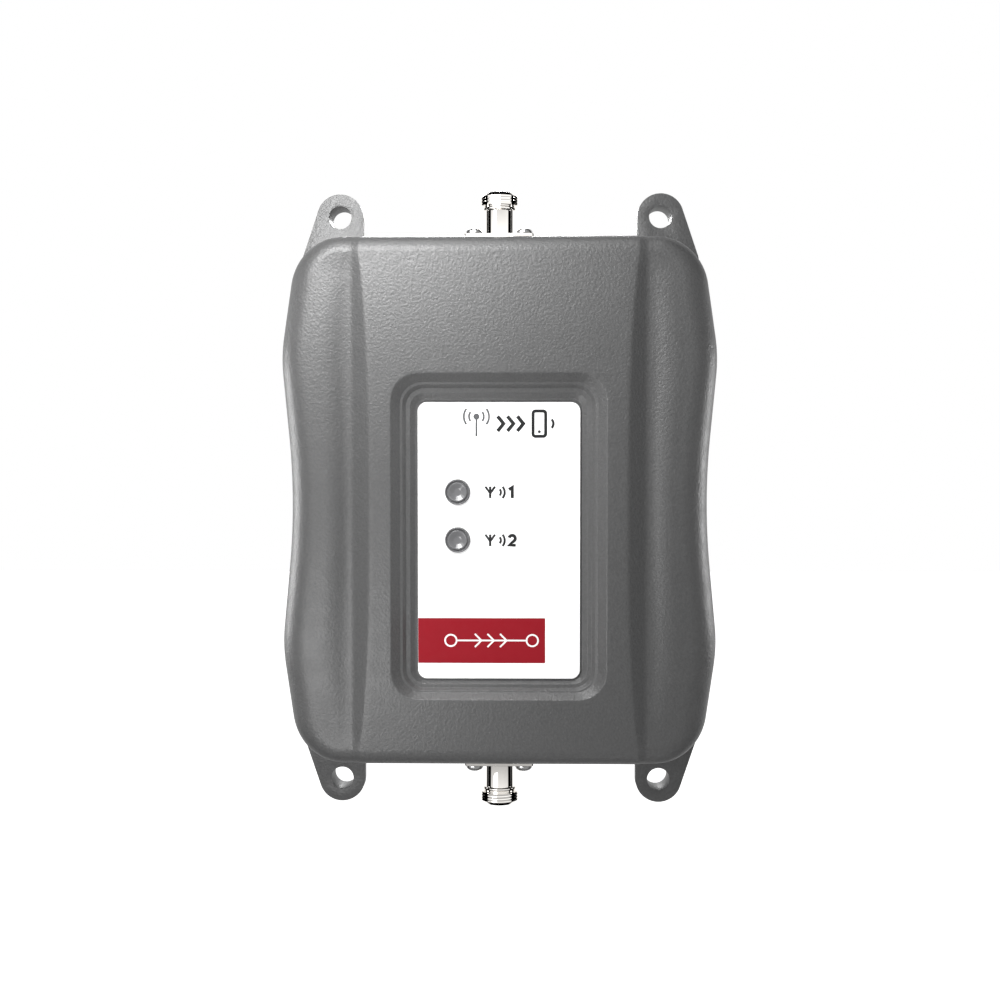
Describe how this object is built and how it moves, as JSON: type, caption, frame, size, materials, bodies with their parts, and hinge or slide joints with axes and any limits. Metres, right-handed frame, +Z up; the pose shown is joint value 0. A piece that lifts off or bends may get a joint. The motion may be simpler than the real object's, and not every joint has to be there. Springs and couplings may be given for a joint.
{
  "type": "cellular signal booster",
  "caption": "Wall-mounted cellular signal booster: a sculpted grey cast case with mounting lugs, a recessed front label with status lenses, and a coaxial port on each end.",
  "frame": {"origin": "centre of the rear housing's flat back, on the wall's face", "axes": "+X to the right as seen from the front, +Y into the wall, +Z up; the front faces -Y"},
  "size_m": [0.1606, 0.04, 0.233],
  "materials": {
    "paint": "dark grey textured powder coat on cast aluminium",
    "label": "satin white printed film",
    "silver_label": "matt silver film",
    "rubber": "matt black",
    "lens": "clear smoked grey",
    "led": "pale yellow package",
    "board": "green solder mask",
    "pad": "soft blue silicone",
    "tin": "tinned sheet",
    "ceramic": "silvered ceramic",
    "black_plastic": "satin black",
    "dial": "white nylon",
    "nickel": "bright nickel plate on brass",
    "steel": "bright zinc plate",
    "gold": "gold plate",
    "fluoropolymer": "white PTFE"
  },
  "bodies": {
    "case": {"rear_housing": "paint", "front_cover": "paint", "front_label": "label", "rating_label": "silver_label", "seam_gasket_left": "rubber", "seam_gasket_right": "rubber", "light_pipe_upper": "lens", "light_pipe_lower": "lens", "led_upper": "led", "led_lower": "led", "radio_board": "board", "thermal_pad": "pad", "uplink_shield": "tin", "downlink_shield": "tin", "control_shield": "tin", "duplexer_outside": "ceramic", "duplexer_inside": "ceramic", "power_inductor": "black_plastic", "filter_capacitor_1": "tin", "filter_capacitor_2": "tin", "gain_trimmer_band_one": "black_plastic", "gain_trimmer_band_two": "black_plastic", "power_jack_housing": "black_plastic", "power_jack_pin": "nickel", "outside_port_body": "nickel", "outside_port_insulator": "fluoropolymer", "outside_port_contact": "gold", "outside_port_screw_1": "steel", "outside_port_screw_2": "steel", "outside_port_screw_3": "steel", "outside_port_screw_4": "steel", "inside_port_body": "nickel", "inside_port_insulator": "fluoropolymer", "inside_port_contact": "gold", "inside_port_screw_1": "steel", "inside_port_screw_2": "steel", "inside_port_screw_3": "steel", "inside_port_screw_4": "steel", "board_screw_1": "steel", "board_screw_2": "steel", "board_screw_3": "steel", "board_screw_4": "steel", "cover_screw_1": "steel", "cover_screw_2": "steel", "cover_screw_3": "steel", "cover_screw_4": "steel", "cover_screw_5": "steel", "cover_screw_6": "steel"},
    "dial_band_one": {"gain_dial_band_one": "dial"},
    "dial_band_two": {"gain_dial_band_two": "dial"}
  },
  "joints": [
    {"name": "gain_band_one", "type": "hinge", "parent": "case", "child": "dial_band_one", "pos_m": [-0.042, -0.023, -0.0959], "axis": [0, 0, -1], "range_deg": [0, 270]},
    {"name": "gain_band_two", "type": "hinge", "parent": "case", "child": "dial_band_two", "pos_m": [-0.028, -0.023, -0.0959], "axis": [0, 0, -1], "range_deg": [0, 270]}
  ]
}
